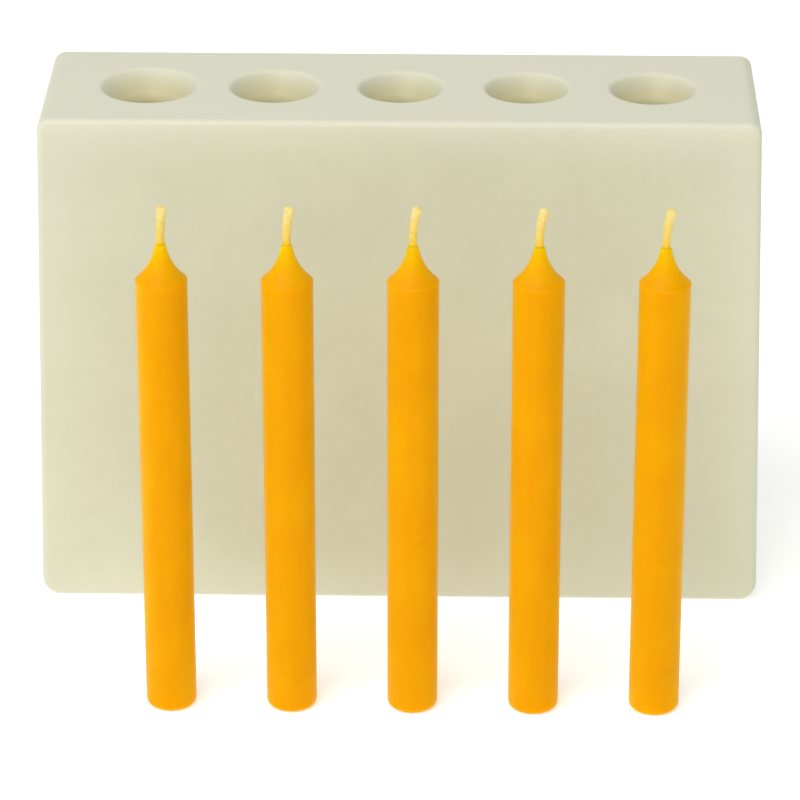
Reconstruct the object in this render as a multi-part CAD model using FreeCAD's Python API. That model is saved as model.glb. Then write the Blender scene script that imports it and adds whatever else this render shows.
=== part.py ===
"""Silicone mold for a row of tree candles, with the candles that were cast in it.

The mold stands with its pouring mouths up. It parts through the row of cavities into a
back half with conical keys and a front half with their sockets. Each cavity casts one
candle tip down, under a short pouring funnel, with its wick led out through the floor. The finished candles
stand in a row before the mold, each a wax body cast round a cotton wick.

Millimetres. +Z is up, +X runs along the row of cavities, and the candles stand on the -Y
side. The origin is the middle of the whole set's footprint, on the surface it stands on.
"""
import FreeCAD, Part
import math
import os

Vector = FreeCAD.Vector

# ---- candles ----
CANDLE_COUNT = 5
CANDLE_RADIUS = 6.25
CANDLE_LENGTH = 122.0        # wax, from the base to the tip
BASE_ROUND = 1.6             # the rounded edge of the candle's base
NOSE_LENGTH = 8.6            # the hollow-sided taper, from shoulder to tip
NOSE_HOLLOW_RADIUS = 13.8    # radius of the taper's hollow side
SHOULDER_ROUND = 1.0
TIP_RADIUS = 1.35            # wax at the top of the taper
TIP_CAP = 0.5                # last of the wax, drawn in to the wick

# ---- wicks ----
WICK_RADIUS = 1.0
WICK_FREE = 9.5              # height of wick that stands out of the wax
WICK_STRAIGHT = 1.0          # how much of that is upright before it bends
WICK_LEANS = (0.7, 1.0, 1.3, 1.3, 1.5)    # how far each wick's end leans to +X

# ---- mold ----
CAVITY_PITCH = 31.5
END_WALL = 26.0              # from the last cavity's axis to the end of the mold's top
MOLD_THICKNESS = 50.0
MOLD_FLOOR = 3.0             # silicone under the candle's tip
MOUTH_RADII = (12.25, 11.4, 10.75, 10.65, 10.9)    # each funnel's rim, cut by hand
MOUTH_DEPTH = 6.0            # the funnel, from its rim to the cavity's straight wall
LIP_ROUND = 1.8              # the funnel's rim
THROAT_ROUND = 4.0           # where the funnel runs into the cavity
SHRINKAGE = 0.1              # the cold candle's radial clearance in its cavity
WICK_HOLE_CLEARANCE = 0.1
END_DRAFT = 3.0              # how far each end leans out, from the top to the foot
END_TOP_ROUND = 3.0          # the ends' upper edges
END_FOOT_ROUND = 4.5         # the ends' lower edges
FACE_ROUND = 1.6             # all round the front and back faces

# ---- keys that line the halves up ----
KEY_RADIUS = 4.2
KEY_TIP_RADIUS = 3.0
KEY_HEIGHT = 3.5
KEY_ROUND = 0.7
KEY_CLEARANCE = 0.25
KEY_INSET = 26.0             # from the mold's foot and top to the end walls' keys

# ---- where the candles stand ----
CANDLE_SPACING = 29.6
CANDLE_ROW_X = 4.4           # middle of the row of candles, from the mold's middle
CANDLE_STANDOFF = 56.0       # from the mold's front face to the candles' axes

# ---- what follows from them ----
CAVITY_RADIUS = CANDLE_RADIUS + SHRINKAGE
SHOULDER_HEIGHT = CANDLE_LENGTH - TIP_CAP - NOSE_LENGTH
MOLD_HEIGHT = MOLD_FLOOR + CANDLE_LENGTH + MOUTH_DEPTH
MOLD_LENGTH = (CANDLE_COUNT - 1) * CAVITY_PITCH + 2 * END_WALL
SET_DEPTH = MOLD_THICKNESS + CANDLE_STANDOFF + CANDLE_RADIUS
PARTING_Y = (SET_DEPTH - MOLD_THICKNESS) / 2
CANDLE_Y = CANDLE_RADIUS - SET_DEPTH / 2
OVERRUN = 1.0                # how far cutting tools run past what they cut


def spread(index, step):
    """Place of one of the row, counted from the middle of the row."""
    return (index - (CANDLE_COUNT - 1) / 2) * step


def line(start, end):
    return Part.LineSegment(Vector(start[0], 0, start[1]), Vector(end[0], 0, end[1])).toShape()


def arc(start, middle, end):
    points = [Vector(r, 0, z) for r, z in (start, middle, end)]
    return Part.Arc(*points).toShape()


def turn(edges):
    """Solid swept once round the Z axis by a closed outline of (radius, height) edges."""
    face = Part.Face(Part.Wire(edges))
    return face.revolve(Vector(0, 0, 0), Vector(0, 0, 1), 360)


def round_ring(solid, radius, height, size):
    """Round the circular edge of that radius at that height."""
    ring = [edge for edge in solid.Edges
            if isinstance(edge.Curve, Part.Circle)
            and abs(edge.Curve.Radius - radius) < 1e-6
            and abs(edge.Curve.Center.z - height) < 1e-6]
    return solid.makeFillet(size, ring)


def round_corner(before, corner, after, size):
    """Start, middle and end of the arc that rounds the corner between two straight lines."""
    back, on = [Vector(r - corner[0], 0, z - corner[1]).normalize() for r, z in (before, after)]
    half = back.getAngle(on) / 2
    reach = size / math.tan(half)
    inward = (back + on).normalize()
    from_corner = (back * reach, inward * (size / math.sin(half) - size), on * reach)
    return [(corner[0] + step.x, corner[1] + step.z) for step in from_corner]


# ---- candles and wicks ----

def nose(radius, tip_radius, shoulder):
    """The hollow side of the taper, as one arc from the shoulder up to the tip."""
    start = (radius, shoulder)
    end = (tip_radius, shoulder + NOSE_LENGTH)
    across, up = end[0] - start[0], end[1] - start[1]
    chord = math.hypot(across, up)
    sagitta = NOSE_HOLLOW_RADIUS - math.sqrt(NOSE_HOLLOW_RADIUS ** 2 - (chord / 2) ** 2)
    middle = ((start[0] + end[0]) / 2 - sagitta * up / chord,
              (start[1] + end[1]) / 2 + sagitta * across / chord)
    return arc(start, middle, end)


def wax_body():
    """One candle's wax, standing on its base at the origin, with the wick's channel."""
    tip = SHOULDER_HEIGHT + NOSE_LENGTH
    body = turn([
        line((0, 0), (CANDLE_RADIUS, 0)),
        line((CANDLE_RADIUS, 0), (CANDLE_RADIUS, SHOULDER_HEIGHT)),
        nose(CANDLE_RADIUS, TIP_RADIUS, SHOULDER_HEIGHT),
        line((TIP_RADIUS, tip), (WICK_RADIUS, CANDLE_LENGTH)),
        line((WICK_RADIUS, CANDLE_LENGTH), (0, CANDLE_LENGTH)),
        line((0, CANDLE_LENGTH), (0, 0)),
    ])
    body = round_ring(body, CANDLE_RADIUS, SHOULDER_HEIGHT, SHOULDER_ROUND)
    body = round_ring(body, CANDLE_RADIUS, 0, BASE_ROUND)
    channel = Part.makeCylinder(WICK_RADIUS, CANDLE_LENGTH + 2 * OVERRUN, Vector(0, 0, -OVERRUN))
    return body.cut(channel)


def wick(lean):
    """One wick: straight through the wax, then bent over to +X by that much."""
    bend_start = CANDLE_LENGTH + WICK_STRAIGHT
    rise = WICK_FREE - WICK_STRAIGHT
    bend = (rise ** 2 + lean ** 2) / (2 * lean)
    half_turn = math.asin(rise / bend) / 2
    middle = (bend - bend * math.cos(half_turn), bend_start + bend * math.sin(half_turn))
    path = Part.Wire([
        line((0, 0), (0, bend_start)),
        arc((0, bend_start), middle, (lean, bend_start + rise)),
    ])
    section = Part.Wire(Part.makeCircle(WICK_RADIUS))
    return path.makePipeShell([section], True, False)


# ---- mold ----

def mold_block():
    """The whole mold without its cavities, with every outer edge rounded."""
    top, foot = MOLD_LENGTH / 2, MOLD_LENGTH / 2 + END_DRAFT
    corners = [((-foot, 0), END_FOOT_ROUND), ((foot, 0), END_FOOT_ROUND),
               ((top, MOLD_HEIGHT), END_TOP_ROUND), ((-top, MOLD_HEIGHT), END_TOP_ROUND)]
    arcs = [round_corner(corners[number - 1][0], corner, corners[(number + 1) % 4][0], size)
            for number, (corner, size) in enumerate(corners)]
    edges = []
    for number, points in enumerate(arcs):
        edges += [arc(*points), line(points[2], arcs[(number + 1) % 4][0])]
    block = Part.Face(Part.Wire(edges)).extrude(Vector(0, MOLD_THICKNESS, 0))
    block.translate(Vector(0, -MOLD_THICKNESS / 2, 0))
    rims = [edge for edge in block.Edges if edge.BoundBox.YLength < MOLD_THICKNESS / 2]
    return block.makeFillet(FACE_ROUND, rims)


def cavity(mouth_radius):
    """What one cavity takes out of the mold, mouth up, on the Z axis.

    It is drawn tip up, as its candle stands, and then turned over.
    """
    shoulder = MOUTH_DEPTH + SHOULDER_HEIGHT
    tip = shoulder + NOSE_LENGTH
    tip_radius = TIP_RADIUS + SHRINKAGE
    hole_radius = WICK_RADIUS + WICK_HOLE_CLEARANCE
    end = MOLD_HEIGHT + OVERRUN
    rim, foot = (mouth_radius, 0), (CAVITY_RADIUS, MOUTH_DEPTH)
    lip = round_corner((mouth_radius + LIP_ROUND, 0), rim, foot, LIP_ROUND)
    throat = round_corner(rim, foot, (CAVITY_RADIUS, shoulder), THROAT_ROUND)
    tool = turn([
        line((0, -OVERRUN), (lip[0][0], -OVERRUN)),
        line((lip[0][0], -OVERRUN), lip[0]),
        arc(*lip),
        line(lip[2], throat[0]),
        arc(*throat),
        line(throat[2], (CAVITY_RADIUS, shoulder)),
        nose(CAVITY_RADIUS, tip_radius, shoulder),
        line((tip_radius, tip), (hole_radius, tip + TIP_CAP)),
        line((hole_radius, tip + TIP_CAP), (hole_radius, end)),
        line((hole_radius, end), (0, end)),
        line((0, end), (0, -OVERRUN)),
    ])
    tool = round_ring(tool, CAVITY_RADIUS, shoulder, SHOULDER_ROUND)
    tool.rotate(Vector(0, 0, 0), Vector(1, 0, 0), 180)
    tool.translate(Vector(0, 0, MOLD_HEIGHT))
    return tool


def key(growth):
    """A conical key standing forward of the parting plane, or with growth its socket."""
    cone = Part.makeCone(KEY_RADIUS + growth, KEY_TIP_RADIUS + growth, KEY_HEIGHT + growth)
    cone = round_ring(cone, KEY_TIP_RADIUS + growth, KEY_HEIGHT + growth, KEY_ROUND)
    cone.rotate(Vector(0, 0, 0), Vector(1, 0, 0), 90)
    return cone


def key_places():
    """Two keys in each end wall, and one halfway up each web between two cavities."""
    wall_middle = MOLD_LENGTH / 2 - (END_WALL - CAVITY_RADIUS) / 2
    places = [(side * wall_middle, height)
              for side in (-1, 1) for height in (KEY_INSET, MOLD_HEIGHT - KEY_INSET)]
    for web in range(CANDLE_COUNT - 1):
        places.append((spread(web, CAVITY_PITCH) + CAVITY_PITCH / 2, MOLD_HEIGHT / 2))
    return places


def mold_halves():
    """The front and back halves, each with its half of every cavity."""
    block = mold_block()
    for index, mouth_radius in enumerate(MOUTH_RADII):
        tool = cavity(mouth_radius)
        tool.translate(Vector(spread(index, CAVITY_PITCH), 0, 0))
        block = block.cut(tool)
    reach = MOLD_LENGTH / 2 + END_DRAFT + OVERRUN
    side = Part.makeBox(2 * reach, MOLD_THICKNESS, MOLD_HEIGHT + 2 * OVERRUN)
    side.translate(Vector(-reach, 0, -OVERRUN))
    back = block.common(side)
    front = block.cut(side)
    for x, z in key_places():
        pin, socket = key(0), key(KEY_CLEARANCE)
        pin.translate(Vector(x, 0, z))
        socket.translate(Vector(x, 0, z))
        back = back.fuse(pin)
        front = front.cut(socket)
    for half in (front, back):
        half.translate(Vector(0, PARTING_Y, 0))
    return front, back


def save(node, shape):
    """Write one node's STEP file, after making sure that it holds one sound solid."""
    solids = shape.Solids
    if len(solids) != 1 or not solids[0].isValid():
        raise RuntimeError(node + " isn't one sound solid")
    solids[0].exportStep(os.path.join("parts", node + ".step"))
    print(node, round(solids[0].Volume, 1), "mm3")


os.makedirs("parts", exist_ok=True)
front_half, back_half = mold_halves()
save("mold_front_half", front_half)
save("mold_back_half", back_half)
for number in range(CANDLE_COUNT):
    place = Vector(CANDLE_ROW_X + spread(number, CANDLE_SPACING), CANDLE_Y, 0)
    wax = wax_body()
    cotton = wick(WICK_LEANS[number])
    for shape in (wax, cotton):
        shape.translate(place)
    save("candle_wax_%d" % (number + 1), wax)
    save("candle_wick_%d" % (number + 1), cotton)
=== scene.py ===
"""Looks for a silicone mold of five tree candles, with the five candles cast in it.

The two halves of the mold keep their CAD shape and get a satin silicone. The candles'
wax and wicks are modelled again here, in the same places, with the small unevenness of
cast wax and the braid of a waxed cotton wick. Metres, in the frame of the CAD model.
"""

import math

import bpy
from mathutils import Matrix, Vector, noise


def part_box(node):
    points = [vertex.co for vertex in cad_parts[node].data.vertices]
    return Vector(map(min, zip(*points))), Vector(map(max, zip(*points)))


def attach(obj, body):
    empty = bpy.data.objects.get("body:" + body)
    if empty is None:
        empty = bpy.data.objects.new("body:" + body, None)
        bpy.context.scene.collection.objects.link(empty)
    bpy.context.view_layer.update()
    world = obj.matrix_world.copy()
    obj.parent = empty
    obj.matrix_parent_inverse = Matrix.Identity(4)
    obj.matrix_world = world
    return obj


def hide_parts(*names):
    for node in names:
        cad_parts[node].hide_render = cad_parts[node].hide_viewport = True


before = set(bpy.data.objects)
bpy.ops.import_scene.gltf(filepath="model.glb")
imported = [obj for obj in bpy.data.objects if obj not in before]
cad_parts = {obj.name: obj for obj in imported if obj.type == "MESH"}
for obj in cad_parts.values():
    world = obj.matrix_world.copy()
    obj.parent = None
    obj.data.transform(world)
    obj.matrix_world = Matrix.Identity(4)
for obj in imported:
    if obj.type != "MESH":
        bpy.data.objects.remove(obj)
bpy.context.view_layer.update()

MM = 0.001
PARTING_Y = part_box("mold_front_half")[1].y
BACK_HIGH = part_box("mold_back_half")[1]
MOLD_HALF_LENGTH = BACK_HIGH.x
MOLD_HEIGHT = BACK_HIGH.z
END_DRAFT = 3.0 * MM             # each end leans out by this, from the top to the foot
CAVITY_PITCH = 31.5 * MM


# ---- materials ----

def srgb(red, green, blue):
    """Linear colour of an 8-bit sRGB one."""
    def linear(value):
        value /= 255
        return value / 12.92 if value <= 0.04045 else ((value + 0.055) / 1.055) ** 2.4
    return (linear(red), linear(green), linear(blue), 1.0)


class Material:
    """A Principled material, and short names for wiring its nodes."""

    def __init__(self, name, **settings):
        self.material = bpy.data.materials.new(name)
        self.material.use_nodes = True
        self.tree = self.material.node_tree
        self.tree.nodes.clear()
        output = self.tree.nodes.new("ShaderNodeOutputMaterial")
        self.shader = self.tree.nodes.new("ShaderNodeBsdfPrincipled")
        self.tree.links.new(self.shader.outputs["BSDF"], output.inputs["Surface"])
        for socket, value in settings.items():
            self.shader.inputs[socket.replace("_", " ")].default_value = value
        self.place = self.tree.nodes.new("ShaderNodeTexCoord").outputs["Object"]

    def put(self, socket, value):
        """Give a node's input a number, a colour or another node's output."""
        if isinstance(value, bpy.types.NodeSocket):
            self.tree.links.new(value, socket)
        else:
            socket.default_value = value

    def math(self, operation, first, second=0.0):
        node = self.tree.nodes.new("ShaderNodeMath")
        node.operation = operation
        self.put(node.inputs[0], first)
        self.put(node.inputs[1], second)
        return node.outputs[0]

    def separate(self, vector):
        node = self.tree.nodes.new("ShaderNodeSeparateXYZ")
        self.put(node.inputs[0], vector)
        return node.outputs

    def scaled(self, vector, scale, offset=(0, 0, 0)):
        node = self.tree.nodes.new("ShaderNodeMapping")
        self.put(node.inputs["Vector"], vector)
        node.inputs["Scale"].default_value = scale
        node.inputs["Location"].default_value = offset
        return node.outputs[0]

    def noise(self, vector, scale, detail=2.0, roughness=0.5, distortion=0.0):
        node = self.tree.nodes.new("ShaderNodeTexNoise")
        self.put(node.inputs["Vector"], vector)
        node.inputs["Scale"].default_value = scale
        node.inputs["Detail"].default_value = detail
        node.inputs["Roughness"].default_value = roughness
        node.inputs["Distortion"].default_value = distortion
        return node.outputs["Fac"]

    def range(self, value, low, high, new_low=0.0, new_high=1.0, smooth=False):
        node = self.tree.nodes.new("ShaderNodeMapRange")
        node.interpolation_type = "SMOOTHSTEP" if smooth else "LINEAR"
        self.put(node.inputs["Value"], value)
        for name, number in (("From Min", low), ("From Max", high),
                             ("To Min", new_low), ("To Max", new_high)):
            node.inputs[name].default_value = number
        return node.outputs["Result"]

    def mix(self, factor, first, second):
        node = self.tree.nodes.new("ShaderNodeMix")
        node.data_type = "RGBA"
        self.put(node.inputs[0], factor)
        self.put(node.inputs[6], first)
        self.put(node.inputs[7], second)
        return node.outputs[2]

    def bump(self, height, distance, strength, below=None):
        node = self.tree.nodes.new("ShaderNodeBump")
        self.put(node.inputs["Height"], height)
        node.inputs["Distance"].default_value = distance
        node.inputs["Strength"].default_value = strength
        if below is not None:
            self.put(node.inputs["Normal"], below)
        return node.outputs[0]

    def set(self, **sockets):
        for socket, value in sockets.items():
            self.put(self.shader.inputs[socket.replace("_", " ")], value)
        return self.material


# Where the silicone is painted paler, in metres in from an end, the top or the foot, and
# how strongly. It stands in for the light that the real rubber lets through.
END_REACH, END_STRENGTH = 0.0115, 0.38
TOP_REACH = 0.0050
FOOT_REACH, FOOT_STRENGTH = 0.011, 0.50
# Painted shade: darker and yellower inside the hollows, from a funnel's rim to its throat,
# and down its depth.
FUNNEL_RIM, FUNNEL_THROAT = 0.0128, 0.0105
FUNNEL_START, FUNNEL_FULL = 0.0002, 0.0040
LAST_FUNNEL = 2 * CAVITY_PITCH + FUNNEL_RIM      # outer rim of the last one, from the middle


def silicone():
    """Ivory silicone: satin, a little cloudy, painted paler at its rims, ends and foot."""
    m = Material("silicone", Specular_IOR_Level=0.40, IOR=1.41)
    x, y, z = m.separate(m.place)
    down = m.math("SUBTRACT", MOLD_HEIGHT, z)
    half = m.range(z, 0, MOLD_HEIGHT, MOLD_HALF_LENGTH, MOLD_HALF_LENGTH - END_DRAFT)
    left = m.math("ADD", half, x)
    right = m.math("SUBTRACT", half, x)

    def bell(distance, reach, strength):
        """The strength where the distance is zero, falling off softly over the reach."""
        share = m.math("DIVIDE", distance, reach)
        fall = m.math("MULTIPLY", m.math("MULTIPLY", share, share), -1.0)
        return m.math("MULTIPLY", m.math("EXPONENT", fall), strength)

    pale = bell(m.math("MINIMUM", left, right), END_REACH, END_STRENGTH)
    pale = m.math("MAXIMUM", pale, m.math("EXPONENT", m.math("DIVIDE", down, -TOP_REACH)))
    pale = m.math("MAXIMUM", pale, bell(z, FOOT_REACH, FOOT_STRENGTH))
    cloud = m.noise(m.place, 38.0, detail=3.0, roughness=0.55, distortion=0.4)
    fine = m.noise(m.place, 420.0, detail=2.0)
    body = m.mix(m.range(cloud, 0.36, 0.66), srgb(204, 206, 179), srgb(207, 210, 183))
    colour = m.mix(pale, body, srgb(220, 220, 198))
    colour = m.mix(m.range(fine, 0.35, 0.7, 0.0, 0.10), colour, srgb(226, 222, 198))
    # Each funnel, and the cavity under it, is painted a little darker and yellower: painted
    # shade, warmed as light bounced inside the hollow. Ping-pong gives the distance along X to
    # the nearest of the evenly spaced axes, one of which is at zero.
    off_axis = m.math("PINGPONG", x, CAVITY_PITCH / 2)
    across = m.math("SUBTRACT", y, PARTING_Y)
    radius = m.math("SQRT", m.math("ADD", m.math("MULTIPLY", off_axis, off_axis),
                                   m.math("MULTIPLY", across, across)))
    funnel_shade = m.math("MULTIPLY", m.range(radius, FUNNEL_RIM, FUNNEL_THROAT),
                    m.range(down, FUNNEL_START, FUNNEL_FULL))
    funnel_shade = m.math("MULTIPLY", funnel_shade,
                    m.math("LESS_THAN", m.math("ABSOLUTE", x), LAST_FUNNEL))
    colour = m.mix(funnel_shade, colour, srgb(205, 198, 158))
    rough = m.range(m.noise(m.place, 160.0, detail=3.0), 0.3, 0.7, 0.40, 0.52)
    wide = m.noise(m.place, 55.0, detail=1.0)
    grain = m.noise(m.place, 2600.0, detail=2.0, roughness=0.6)
    normal = m.bump(wide, 0.00035, 0.35)
    normal = m.bump(grain, 0.00003, 0.30, below=normal)
    return m.set(Base_Color=colour, Roughness=rough, Normal=normal)


def beeswax(index, height):
    """Beeswax: one warm yellow all round, with painted light making it a little lighter up the
    taper, softly shining.
    """
    m = Material("beeswax_%d" % index, Specular_IOR_Level=0.06, IOR=1.44,
                 Subsurface_Weight=1.0, Subsurface_Scale=0.0040,
                 Subsurface_Radius=(1.0, 0.36, 0.08))
    z = m.separate(m.place)[2]
    here = m.scaled(m.place, (1, 1, 1), (0.37 * index, 0.11 * index, 0))
    cloud = m.noise(here, 70.0, detail=3.0, roughness=0.5, distortion=0.3)
    streak = m.noise(m.scaled(here, (1, 1, 0.12)), 420.0, detail=2.0)
    speck = m.noise(here, 900.0, detail=2.0)
    colour = m.mix(m.range(cloud, 0.35, 0.68), srgb(229, 163, 0), srgb(232, 169, 0))
    colour = m.mix(m.range(streak, 0.40, 0.72, 0.0, 0.30), colour, srgb(231, 152, 0))
    colour = m.mix(m.range(speck, 0.56, 0.74, 0.0, 0.18), colour, srgb(240, 180, 10))
    # Painted light: the taper is painted a lighter yellow towards its tip.
    colour = m.mix(m.range(z, height - 0.0085, height, 0.0, 0.75), colour, srgb(241, 201, 8))
    rough = m.range(m.noise(here, 210.0, detail=3.0), 0.3, 0.7, 0.34, 0.50)
    waves = m.noise(m.scaled(here, (1, 1, 0.45)), 170.0, detail=2.0)
    grain = m.noise(here, 2200.0, detail=2.0)
    normal = m.bump(waves, 0.00012, 0.35)
    normal = m.bump(grain, 0.00002, 0.30, below=normal)
    return m.set(Base_Color=colour, Roughness=rough, Normal=normal)


def waxed_cotton(index, wax_top, wick_top):
    """Braided cotton soaked in wax: golden at the wax, cream towards the cut end."""
    m = Material("waxed_cotton_%d" % index, Specular_IOR_Level=0.35,
                 Subsurface_Weight=0.5, Subsurface_Scale=0.0009,
                 Subsurface_Radius=(1.0, 0.8, 0.4))
    z = m.separate(m.place)[2]
    rise = m.range(z, wax_top - 0.0006, wick_top, 0.0, 1.0)
    here = m.scaled(m.place, (1, 1, 0.22), (0.29 * index, 0.17 * index, 0))
    fibre = m.noise(here, 5200.0, detail=3.0, roughness=0.65)
    blotch = m.noise(m.place, 650.0, detail=2.0)
    colour = m.mix(m.range(rise, 0.04, 0.34, smooth=True), srgb(241, 192, 16), srgb(230, 201, 84))
    colour = m.mix(m.range(rise, 0.30, 1.0, smooth=True), colour, srgb(231, 214, 138))
    frayed = m.math("MULTIPLY", m.range(fibre, 0.38, 0.66, 0.0, 0.32),
                    m.range(rise, 0.05, 0.35, 0.1))
    colour = m.mix(frayed, colour, srgb(240, 228, 172))
    colour = m.mix(m.range(blotch, 0.45, 0.70, 0.0, 0.45), colour, srgb(228, 192, 70))
    rough = m.range(fibre, 0.3, 0.7, 0.50, 0.78)
    normal = m.bump(fibre, 0.00006, 0.55)
    return m.set(Base_Color=colour, Roughness=rough, Normal=normal)


def floor_paint():
    m = Material("floor", Specular_IOR_Level=0.0, Roughness=0.9, Emission_Strength=0.36,
                 Emission_Color=(1, 1, 1, 1))
    tone = m.noise(m.place, 3.0, detail=2.0)
    return m.set(Base_Color=m.mix(tone, (0.93, 0.93, 0.93, 1), (0.95, 0.95, 0.95, 1)))


# ---- meshes ----

def add_mesh(name, points, faces, material):
    mesh = bpy.data.meshes.new(name)
    mesh.from_pydata([tuple(p) for p in points], [], faces)
    mesh.validate()
    mesh.shade_smooth()
    mesh.materials.append(material)
    piece = bpy.data.objects.new(name, mesh)
    bpy.context.scene.collection.objects.link(piece)
    return piece


def skin(rings):
    """Quads between rings of as many points each."""
    around = len(rings[0])
    points = [p for ring in rings for p in ring]
    faces = []
    for i in range(len(rings) - 1):
        a, b = i * around, (i + 1) * around
        for j in range(around):
            k = (j + 1) % around
            faces.append((a + j, a + k, b + k, b + j))
    return points, faces


def cap(points, faces, ring, first, upward, lift=0.0):
    """Close a ring with a fan round its middle. Its points are numbered from first on."""
    around = len(ring)
    middle = len(points)
    points.append(sum(ring, Vector()) / around + Vector((0, 0, lift)))
    for j in range(around):
        a, b = first + j, first + (j + 1) % around
        faces.append((middle, a, b) if upward else (middle, b, a))


def along(low, high, step):
    """Evenly spread numbers from low to high, no further apart than step."""
    count = max(1, math.ceil(abs(high - low) / step))
    return [low + (high - low) * i / count for i in range(count + 1)]


# ---- candles ----

BASE_ROUND = 1.6 * MM
BASE_SINK = 0.33 * MM            # how far the poured end sank round the wick
RIDGE = 0.06 * MM                # how far the faint ridge under the shoulder stands out
NOSE_LENGTH = 8.6 * MM           # the taper, from the shoulder to its tip
NOSE_HOLLOW_RADIUS = 13.8 * MM   # of the taper's hollow side
TIP_RADIUS = 1.35 * MM
TIP_CAP = 0.5 * MM               # last of the wax, drawn in to the wick
WAX_WAVES = 0.10 * MM            # depth of the wax's wide unevenness
WAX_RIPPLES = 0.03 * MM          # depth of its fine unevenness
WICK_RADIUS = 1.0 * MM           # of the CAD wick
WICK_BASE = 0.94 * MM            # radius just above the wax
WICK_END = 1.28 * MM             # radius at the blunt end
WICK_STRAIGHT = 1.0 * MM         # how far the wick stands upright before it bends
WICK_SWAY = 0.16 * MM            # how far the free wick wanders sideways
WICK_FLATNESS = 0.12             # share by which it is thinner from front to back
WICK_CUT = 0.9 * MM              # length over which its cut end is rounded
WICK_TRIM = 0.35 * MM            # leaves room for its uneven end under the CAD wick's top
BRAID_PITCH = 5.2 * MM
BRAID_RELIEF = 0.11              # share of the wick's radius
BRAID_START = 1.2 * MM           # the braid shows fully from this far above the wax
WAX_SIDES, WICK_SIDES = 120, 64  # points round a ring of each


def wax_outline(radius, height):
    """Outline of the wax as (radius, height), from under its base to within the wick."""
    shoulder = height - TIP_CAP - NOSE_LENGTH
    side = radius - RIDGE
    outline = []
    # The base is the poured end: the wax sank a little round the wick as it set.
    flat = side - BASE_ROUND
    for r in along(0.30 * MM, flat, 0.35 * MM):
        share = (flat - r) / flat
        outline.append((r, BASE_SINK * share ** 2 * (3 - 2 * share)))
    for angle in along(-90, 0, 11)[1:]:
        turn = math.radians(angle)
        outline.append((flat + BASE_ROUND * math.cos(turn), BASE_ROUND * (1 + math.sin(turn))))
    outline += [(side, z) for z in along(BASE_ROUND, shoulder - 1.5 * MM, 0.9 * MM)[1:]]
    outline += [(side + 0.15 * RIDGE, shoulder - 1.1 * MM),
                (side + 0.45 * RIDGE, shoulder - 0.8 * MM),
                (side + 0.85 * RIDGE, shoulder - 0.55 * MM),
                (radius, shoulder - 0.30 * MM),
                (radius - 0.04 * MM, shoulder - 0.10 * MM),
                (radius - 0.15 * MM, shoulder + 0.05 * MM)]
    # The taper's hollow side.
    start = Vector((radius, shoulder))
    end = Vector((TIP_RADIUS, shoulder + NOSE_LENGTH))
    chord = end - start
    half = chord.length / 2
    inward = Vector((-chord.y, chord.x)) / chord.length
    centre = (start + end) / 2 - inward * math.sqrt(NOSE_HOLLOW_RADIUS ** 2 - half ** 2)
    first = math.atan2(*(start - centre).yx)
    second = math.atan2(*(end - centre).yx)
    for turn in along(first, second, 0.035)[1:]:
        outline.append((centre.x + NOSE_HOLLOW_RADIUS * math.cos(turn),
                        centre.y + NOSE_HOLLOW_RADIUS * math.sin(turn)))
    # Wax drawn a little way up the wick.
    tip = shoulder + NOSE_LENGTH
    outline += [(1.22 * MM, tip + 0.15 * MM), (1.10 * MM, tip + 0.29 * MM),
                (1.01 * MM, tip + 0.41 * MM), (0.955 * MM, tip + TIP_CAP),
                (0.55 * MM, tip + TIP_CAP)]
    return outline


def candle_wax(index, centre, radius, height, material):
    """One wax body. It is uneven inwards only, and not at all beside the wick."""
    around = WAX_SIDES
    rings = []
    for r, z in wax_outline(radius, height):
        ring = []
        for j in range(around):
            turn = 2 * math.pi * j / around
            out = Vector((math.cos(turn), math.sin(turn), 0))
            here = Vector((out.x * 0.5, out.y * 0.5, z * 22)) + Vector((7.3 * index, 0, 0))
            uneven = (noise.noise(here * 1.3) * 0.5 - 0.5) * WAX_WAVES
            uneven += (noise.noise(here * 5.1) * 0.5 - 0.5) * WAX_RIPPLES
            share = min(1.0, max(0.0, (r - 1.2 * MM) / (2 * MM)))
            ring.append(centre + out * (r + uneven * share) + Vector((0, 0, z)))
        rings.append(ring)
    points, faces = skin(rings)
    cap(points, faces, rings[0], 0, False)
    cap(points, faces, rings[-1], (len(rings) - 1) * around, True)
    return add_mesh("candle_body_%d" % index, points, faces, material)


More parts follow.
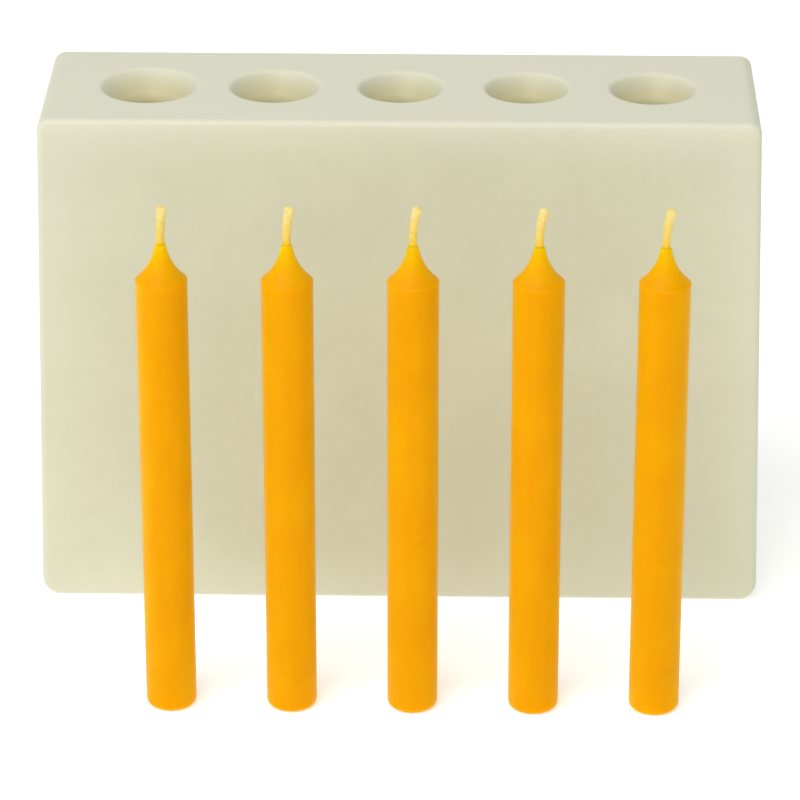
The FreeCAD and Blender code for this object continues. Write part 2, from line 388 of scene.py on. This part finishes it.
def wick(index, centre, lean, wax_height, top, material):
    """One wick as a single braided cord: straight in the wax, then bent over to +X."""
    around = WICK_SIDES
    bend_start = wax_height + WICK_STRAIGHT
    rise = top - bend_start
    bend = (rise ** 2 + lean ** 2) / (2 * lean)
    # Deep in the wax the wick can't be seen, so its rings are far apart there.
    hidden = wax_height - 1.2 * MM
    stations = along(0.05 * MM, hidden, 2.0 * MM) + along(hidden, top, 0.11 * MM)[1:]
    rings = []
    for s in stations:
        if s <= bend_start:
            middle, tilt = Vector((0, 0, s)), 0.0
        else:
            tilt = (s - bend_start) / rise * math.asin(rise / bend)
            middle = Vector((bend - bend * math.cos(tilt), 0, bend_start + bend * math.sin(tilt)))
        side = Vector((math.cos(tilt), 0, -math.sin(tilt)))
        free = max(0.0, s - wax_height)
        grown = min(1.0, free / (top - wax_height))
        radius = WICK_BASE + (WICK_END - WICK_BASE) * grown ** 1.3
        sway = WICK_SWAY * math.sin(2.1 * grown + 1.7 * index) * grown
        middle = middle + Vector((sway * 0.3, sway, 0))
        relief = min(1.0, free / BRAID_START)
        end = max(0.0, 1.0 - (top - s) / WICK_CUT)
        ring = []
        for j in range(around):
            turn = 2 * math.pi * j / around
            # Two families of four strands that cross: the braid, mostly filled with wax.
            up = 2 * math.pi * s / BRAID_PITCH
            right = math.cos(2 * (turn - up)) ** 2
            left = math.cos(2 * (turn + up) + 0.6) ** 2
            over = 0.5 + 0.5 * math.sin(4 * turn + index)
            braid = max(right * (0.75 + 0.25 * over), left * (1.0 - 0.25 * over)) - 0.72
            here = Vector((math.cos(turn), math.sin(turn), s * 900)) + Vector((3.1 * index, 5, 0))
            rough = noise.noise(here * 1.7) * 0.05 + noise.noise(here * 5.0) * 0.03
            r = radius * (1 + relief * (BRAID_RELIEF * braid + rough))
            r *= math.sqrt(max(0.0, 1.0 - 0.80 * end ** 3))
            flat = 1.0 - WICK_FLATNESS * relief
            out = side * math.cos(turn) + Vector((0, 1, 0)) * (math.sin(turn) * flat)
            lift = Vector((0, 0, 0))
            if s == stations[-1]:
                lift = Vector((0, 0, noise.noise(here * 3.0) * 0.12 * MM))
            ring.append(centre + middle + out * r + lift)
        rings.append(ring)
    points, faces = skin(rings)
    cap(points, faces, rings[0], 0, False)
    cap(points, faces, rings[-1], (len(rings) - 1) * around, True, 0.08 * MM)
    return add_mesh("wick_cord_%d" % index, points, faces, material)


rubber = silicone()
for half in ("mold_front_half", "mold_back_half"):
    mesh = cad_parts[half].data
    mesh.materials.clear()
    mesh.materials.append(rubber)

for index in range(1, 6):
    wax_node, wick_node = "candle_wax_%d" % index, "candle_wick_%d" % index
    body = "candle_%d" % index
    low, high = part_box(wax_node)
    wick_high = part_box(wick_node)[1]
    centre = Vector(((low.x + high.x) / 2, (low.y + high.y) / 2, low.z))
    radius, height = (high.x - low.x) / 2, high.z - low.z
    lean = wick_high.x - centre.x - WICK_RADIUS
    wax = candle_wax(index, centre, radius, height, beeswax(index, height))
    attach(wax, body)
    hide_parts(wax_node)
    cord = wick(index, centre, lean, height, wick_high.z - WICK_TRIM,
                waxed_cotton(index, height, wick_high.z))
    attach(cord, body)
    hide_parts(wick_node)

# ---- floor, light and camera ----

floor = add_mesh("floor", [(-4, -4, 0), (4, -4, 0), (4, 4, 0), (-4, 4, 0)], [(0, 1, 2, 3)],
                 floor_paint())

world = bpy.data.worlds.new("studio")
bpy.context.scene.world = world
world.use_nodes = True
world.node_tree.nodes["Background"].inputs["Color"].default_value = (1.0, 1.0, 1.0, 1)
world.node_tree.nodes["Background"].inputs["Strength"].default_value = 0.54


def soft_box(name, place, aim, size, power):
    light = bpy.data.lights.new(name, "AREA")
    light.shape = "SQUARE"
    light.size = size
    light.energy = power
    lamp = bpy.data.objects.new(name, light)
    lamp.location = place
    lamp.rotation_euler = (Vector(aim) - Vector(place)).to_track_quat("-Z", "Y").to_euler()
    bpy.context.scene.collection.objects.link(lamp)


soft_box("key", (-0.70, -1.12, 1.96), (0, 0, 0.05), 1.6, 32.0)

CAMERA_DISTANCE = 1.1
CAMERA_PITCH = math.radians(24.8)
CAMERA_TURN = math.radians(1.1)
CAMERA_AIM = Vector((-0.0002, PARTING_Y, 0.0446))
SENSOR_WIDTH = 36
FOCAL_LENGTH = 5.3125 * SENSOR_WIDTH

forward = Vector((-math.sin(CAMERA_TURN) * math.cos(CAMERA_PITCH),
                  math.cos(CAMERA_TURN) * math.cos(CAMERA_PITCH), -math.sin(CAMERA_PITCH)))
camera_data = bpy.data.cameras.new("camera")
camera_data.sensor_width = SENSOR_WIDTH
camera_data.lens = FOCAL_LENGTH
camera_data.clip_start = 0.01
camera = bpy.data.objects.new("camera", camera_data)
camera.location = CAMERA_AIM - forward * CAMERA_DISTANCE
camera.rotation_euler = forward.to_track_quat("-Z", "Y").to_euler()
bpy.context.scene.collection.objects.link(camera)
bpy.context.scene.camera = camera
bpy.context.scene.view_settings.view_transform = "Standard"
